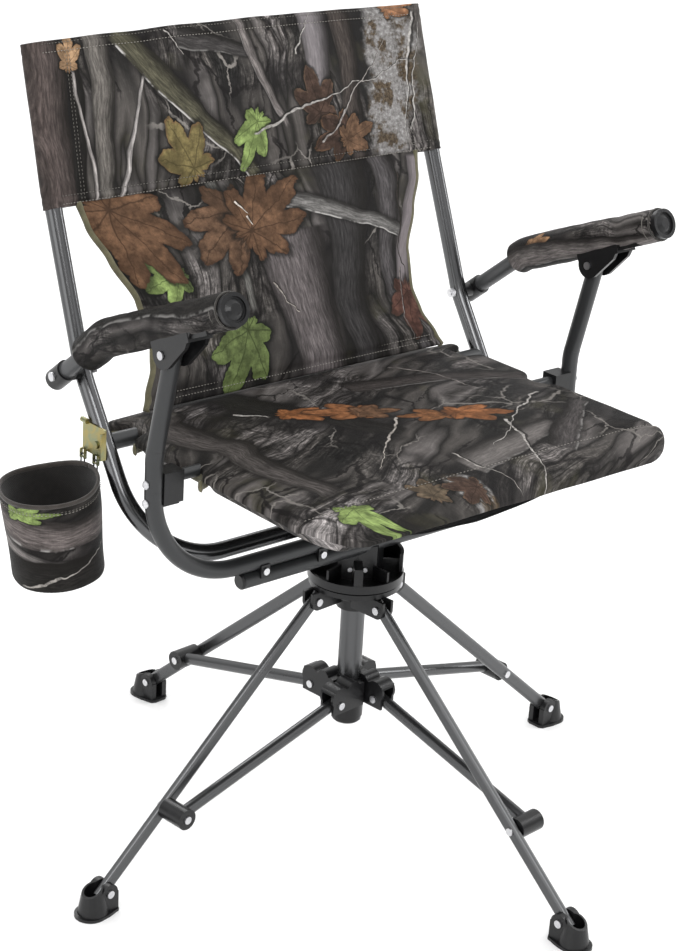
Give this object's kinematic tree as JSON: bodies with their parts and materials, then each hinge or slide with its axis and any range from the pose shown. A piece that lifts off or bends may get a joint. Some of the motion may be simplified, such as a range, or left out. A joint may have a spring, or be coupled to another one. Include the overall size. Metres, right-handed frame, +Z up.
{
  "type": "blind swivel chair",
  "caption": "Padded camouflage swivel chair with armrests and a hanging cup holder, on a bent-tube frame over a folding four-leg base.",
  "frame": {"origin": "on the swivel axis, at floor level under the centre post", "axes": "+Z up along the swivel axis; the chair faces -Y; +X is the sitter's left, and the cup holder hangs at -X"},
  "size_m": [0.7872, 0.7814, 0.8915],
  "materials": {
    "black_plastic": "fine moulded grain, slightly shiny",
    "foot_plastic": "moulded, slightly shiny",
    "leg_metal": "satin dark grey powder coat",
    "upright_paint": "glossy gunmetal grey coat",
    "frame_paint": "matte dark grey powder coat",
    "arm_paint": "satin dark grey powder coat",
    "screws": "zinc-plated, slightly dull",
    "yellow_zinc": "yellow passivated zinc",
    "seat_fabric": "padded woven polyester in a woodland pattern",
    "back_fabric": "padded woven polyester in a woodland pattern",
    "arm_fabric": "woven polyester over foam in a woodland pattern",
    "cup_fabric": "woven polyester in a woodland pattern",
    "sling_fabric": "plain black woven polyester",
    "cord": "matte black"
  },
  "bodies": {
    "base": {"centre_post": "leg_metal", "post_end_cap": "black_plastic", "upper_hub": "black_plastic", "upper_hub_pins": "screws", "swivel_race": "black_plastic", "swivel_bolt": "screws"},
    "sliding_hub": {"lower_hub": "black_plastic", "lower_hub_pins": "screws"},
    "leg_1_body": {"leg_1": "leg_metal", "leg_1_rivets": "screws"},
    "foot_1_body": {"foot_1": "foot_plastic"},
    "strut_1_body": {"strut_1": "leg_metal", "strut_1_barrel": "black_plastic", "strut_1_screw": "screws"},
    "leg_2_body": {"leg_2": "leg_metal", "leg_2_rivets": "screws"},
    "foot_2_body": {"foot_2": "foot_plastic"},
    "strut_2_body": {"strut_2": "leg_metal", "strut_2_barrel": "black_plastic", "strut_2_screw": "screws"},
    "leg_3_body": {"leg_3": "leg_metal", "leg_3_rivets": "screws"},
    "foot_3_body": {"foot_3": "foot_plastic"},
    "strut_3_body": {"strut_3": "leg_metal", "strut_3_barrel": "black_plastic", "strut_3_screw": "screws"},
    "leg_4_body": {"leg_4": "leg_metal", "leg_4_rivets": "screws"},
    "foot_4_body": {"foot_4": "foot_plastic"},
    "strut_4_body": {"strut_4": "leg_metal", "strut_4_barrel": "black_plastic", "strut_4_screw": "screws"},
    "seat_body": {"turret": "black_plastic", "turret_clamp": "black_plastic", "turret_screws": "screws", "cross_tube": "frame_paint", "cross_tube_plugs": "black_plastic", "frame_clips": "black_plastic", "frame_clip_screws": "screws", "front_frame": "frame_paint", "rear_frame": "upright_paint", "seat_blocks": "black_plastic", "seat_block_bolts": "screws", "seat_rear_bar": "frame_paint", "seat_mid_bar": "frame_paint", "seat_rails": "frame_paint", "seat_cushion": "seat_fabric", "seat_sling": "sling_fabric", "back_panel": "back_fabric", "back_sleeve": "back_fabric", "arm_tubes": "arm_paint", "arm_end_fittings": "black_plastic", "arm_pivot_bolts": "screws", "arm_brackets": "black_plastic", "arm_bracket_screws": "screws", "arm_covers": "arm_fabric", "arm_end_caps": "black_plastic", "accessory_bracket": "yellow_zinc"},
    "cup_body": {"cup_links": "cord", "cup_holder": "cup_fabric"}
  },
  "joints": [
    {"name": "hub_slide", "type": "slide", "parent": "base", "child": "sliding_hub", "axis": [0, 0, 1], "range_m": [0, 0.07923]},
    {"name": "leg_1_fold", "type": "hinge", "parent": "base", "child": "leg_1_body", "pos_m": [0.0547, -0.00673, 0.285], "axis": [-0.0785, 0.9969, 0], "range_deg": [0, 45.47]},
    {"name": "foot_1_tilt", "type": "hinge", "parent": "leg_1_body", "child": "foot_1_body", "pos_m": [0.35577, 0.01697, 0.025], "axis": [-0.0785, 0.9969, 0], "range_deg": [-35, 20]},
    {"name": "strut_1_fold", "type": "hinge", "parent": "sliding_hub", "child": "strut_1_body", "pos_m": [0.03571, 0.01786, 0.159], "axis": [-0.0785, 0.9969, 0], "range_deg": [0, 66.78]},
    {"name": "leg_2_fold", "type": "hinge", "parent": "base", "child": "leg_2_body", "pos_m": [0.00673, 0.0547, 0.285], "axis": [-0.9969, -0.0785, 0], "range_deg": [0, 45.47]},
    {"name": "foot_2_tilt", "type": "hinge", "parent": "leg_2_body", "child": "foot_2_body", "pos_m": [-0.01697, 0.35577, 0.025], "axis": [-0.9969, -0.0785, 0], "range_deg": [-35, 20]},
    {"name": "strut_2_fold", "type": "hinge", "parent": "sliding_hub", "child": "strut_2_body", "pos_m": [-0.01786, 0.03571, 0.159], "axis": [-0.9969, -0.0785, 0], "range_deg": [0, 66.78]},
    {"name": "leg_3_fold", "type": "hinge", "parent": "base", "child": "leg_3_body", "pos_m": [-0.0547, 0.00673, 0.285], "axis": [0.0785, -0.9969, 0], "range_deg": [0, 45.47]},
    {"name": "foot_3_tilt", "type": "hinge", "parent": "leg_3_body", "child": "foot_3_body", "pos_m": [-0.35577, -0.01697, 0.025], "axis": [0.0785, -0.9969, 0], "range_deg": [-35, 20]},
    {"name": "strut_3_fold", "type": "hinge", "parent": "sliding_hub", "child": "strut_3_body", "pos_m": [-0.03571, -0.01786, 0.159], "axis": [0.0785, -0.9969, 0], "range_deg": [0, 66.78]},
    {"name": "leg_4_fold", "type": "hinge", "parent": "base", "child": "leg_4_body", "pos_m": [-0.00673, -0.0547, 0.285], "axis": [0.9969, 0.0785, 0], "range_deg": [0, 45.47]},
    {"name": "foot_4_tilt", "type": "hinge", "parent": "leg_4_body", "child": "foot_4_body", "pos_m": [0.01697, -0.35577, 0.025], "axis": [0.9969, 0.0785, 0], "range_deg": [-35, 20]},
    {"name": "strut_4_fold", "type": "hinge", "parent": "sliding_hub", "child": "strut_4_body", "pos_m": [0.01786, -0.03571, 0.159], "axis": [0.9969, 0.0785, 0], "range_deg": [0, 66.78]},
    {"name": "seat_swivel", "type": "hinge", "parent": "base", "child": "seat_body", "pos_m": [0, 0, 0.304], "axis": [0, 0, 1], "continuous": true},
    {"name": "cup_swing", "type": "hinge", "parent": "seat_body", "child": "cup_body", "pos_m": [-0.2915, 0.114, 0.4705], "axis": [0, 1, 0], "range_deg": [0, 75]}
  ],
  "couplings": [
    {"joint": "leg_1_fold", "follows": "hub_slide", "rad_per_m": 9.9733},
    {"joint": "strut_1_fold", "follows": "hub_slide", "rad_per_m": 14.667},
    {"joint": "leg_2_fold", "follows": "hub_slide", "rad_per_m": 9.9733},
    {"joint": "strut_2_fold", "follows": "hub_slide", "rad_per_m": 14.667},
    {"joint": "leg_3_fold", "follows": "hub_slide", "rad_per_m": 9.9733},
    {"joint": "strut_3_fold", "follows": "hub_slide", "rad_per_m": 14.667},
    {"joint": "leg_4_fold", "follows": "hub_slide", "rad_per_m": 9.9733},
    {"joint": "strut_4_fold", "follows": "hub_slide", "rad_per_m": 14.667}
  ]
}
